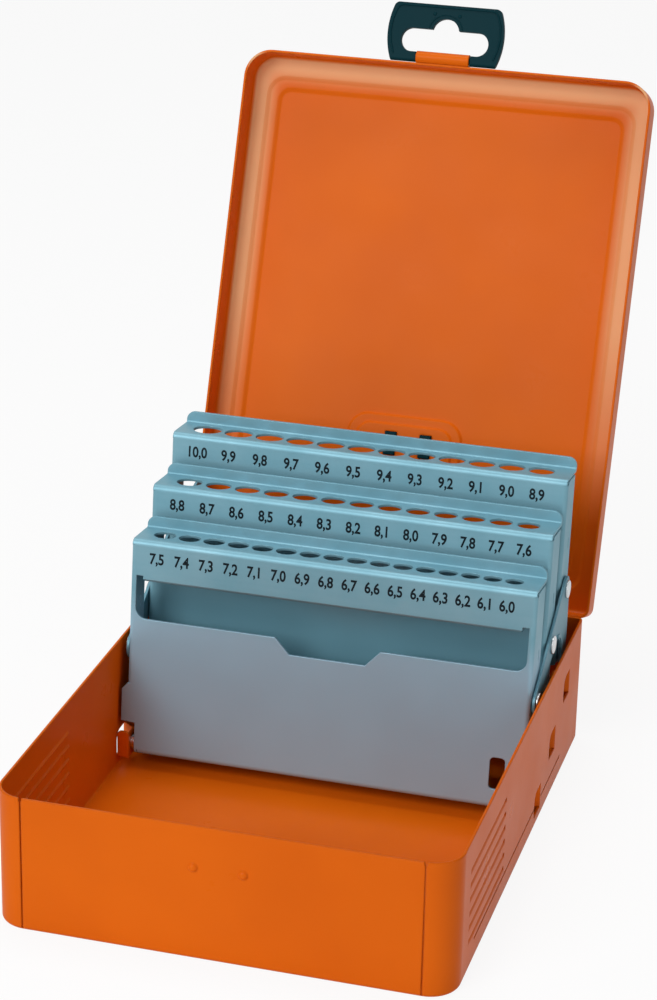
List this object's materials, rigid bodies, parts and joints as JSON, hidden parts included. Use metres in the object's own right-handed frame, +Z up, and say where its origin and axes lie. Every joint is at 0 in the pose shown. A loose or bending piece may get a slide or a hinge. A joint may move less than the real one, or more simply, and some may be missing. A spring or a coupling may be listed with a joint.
{
  "type": "drill bit drawer case",
  "caption": "Folding sheet-metal drill index case: a tray with a hinged lid, a hanging latch, and drill racks that rise and fold with the lid on side links.",
  "frame": {"origin": "middle of the tray's flat underside", "axes": "+Z up, front of the tray towards -Y, +X to the right seen from the front; rest pose is the case fully open"},
  "size_m": [0.1506, 0.2761, 0.2418],
  "materials": {
    "orange_paint": "glossy orange enamel on steel sheet",
    "zinc_sheet": "zinc-plated blue-grey satin",
    "bright_rivet": "bright nickel",
    "black_plastic": "satin black moulded plastic"
  },
  "bodies": {
    "base": {"base_tray": "orange_paint", "base_hinge_leaves": "orange_paint", "hinge_pins": "bright_rivet", "pivot_rivets_left": "bright_rivet", "pivot_rivets_right": "bright_rivet", "pivot_washers_left": "bright_rivet", "pivot_washers_right": "bright_rivet"},
    "lid": {"lid_shell": "orange_paint", "lid_hinge_leaves": "orange_paint", "lid_plate": "black_plastic", "drive_ear": "orange_paint", "drive_pin": "bright_rivet"},
    "latch": {"latch_hanger": "black_plastic"},
    "rack_front": {"rack_front": "zinc_sheet"},
    "rack_middle": {"rack_middle": "zinc_sheet"},
    "rack_rear": {"rack_rear": "zinc_sheet"},
    "link_left": {"link_plate_left": "zinc_sheet", "link_rivets_left": "bright_rivet"},
    "link_right": {"link_plate_right": "zinc_sheet", "link_rivets_right": "bright_rivet"}
  },
  "joints": [
    {"name": "lid_hinge", "type": "hinge", "parent": "base", "child": "lid", "pos_m": [0, 0.0981, 0.0435], "axis": [1, 0, 0], "range_deg": [0, 111]},
    {"name": "latch_hinge", "type": "hinge", "parent": "lid", "child": "latch", "pos_m": [0, 0.17264, 0.22344], "axis": [1, 0, 0], "range_deg": [0, 90]},
    {"name": "rack_front_pivot", "type": "hinge", "parent": "base", "child": "rack_front", "pos_m": [0, 0.024, 0.0092], "axis": [1, 0, 0], "range_deg": [0, 89.21]},
    {"name": "rack_middle_pivot", "type": "hinge", "parent": "base", "child": "rack_middle", "pos_m": [0, 0.0455, 0.0209], "axis": [1, 0, 0], "range_deg": [0, 89.21]},
    {"name": "rack_rear_pivot", "type": "hinge", "parent": "base", "child": "rack_rear", "pos_m": [0, 0.067, 0.0326], "axis": [1, 0, 0], "range_deg": [0, 89.21]},
    {"name": "link_left_pivot", "type": "hinge", "parent": "rack_rear", "child": "link_left", "pos_m": [0, 0.07342, 0.06671], "axis": [1, 0, 0], "range_deg": [-89.21, 0]},
    {"name": "link_right_pivot", "type": "hinge", "parent": "rack_rear", "child": "link_right", "pos_m": [0, 0.07342, 0.06671], "axis": [1, 0, 0], "range_deg": [-89.21, 0]}
  ],
  "couplings": [
    {"joint": "rack_front_pivot", "follows": "lid_hinge", "ratio": 0.8036},
    {"joint": "rack_middle_pivot", "follows": "lid_hinge", "ratio": 0.8036},
    {"joint": "rack_rear_pivot", "follows": "lid_hinge", "ratio": 0.8036},
    {"joint": "link_left_pivot", "follows": "lid_hinge", "ratio": -0.8036},
    {"joint": "link_right_pivot", "follows": "lid_hinge", "ratio": -0.8036}
  ]
}
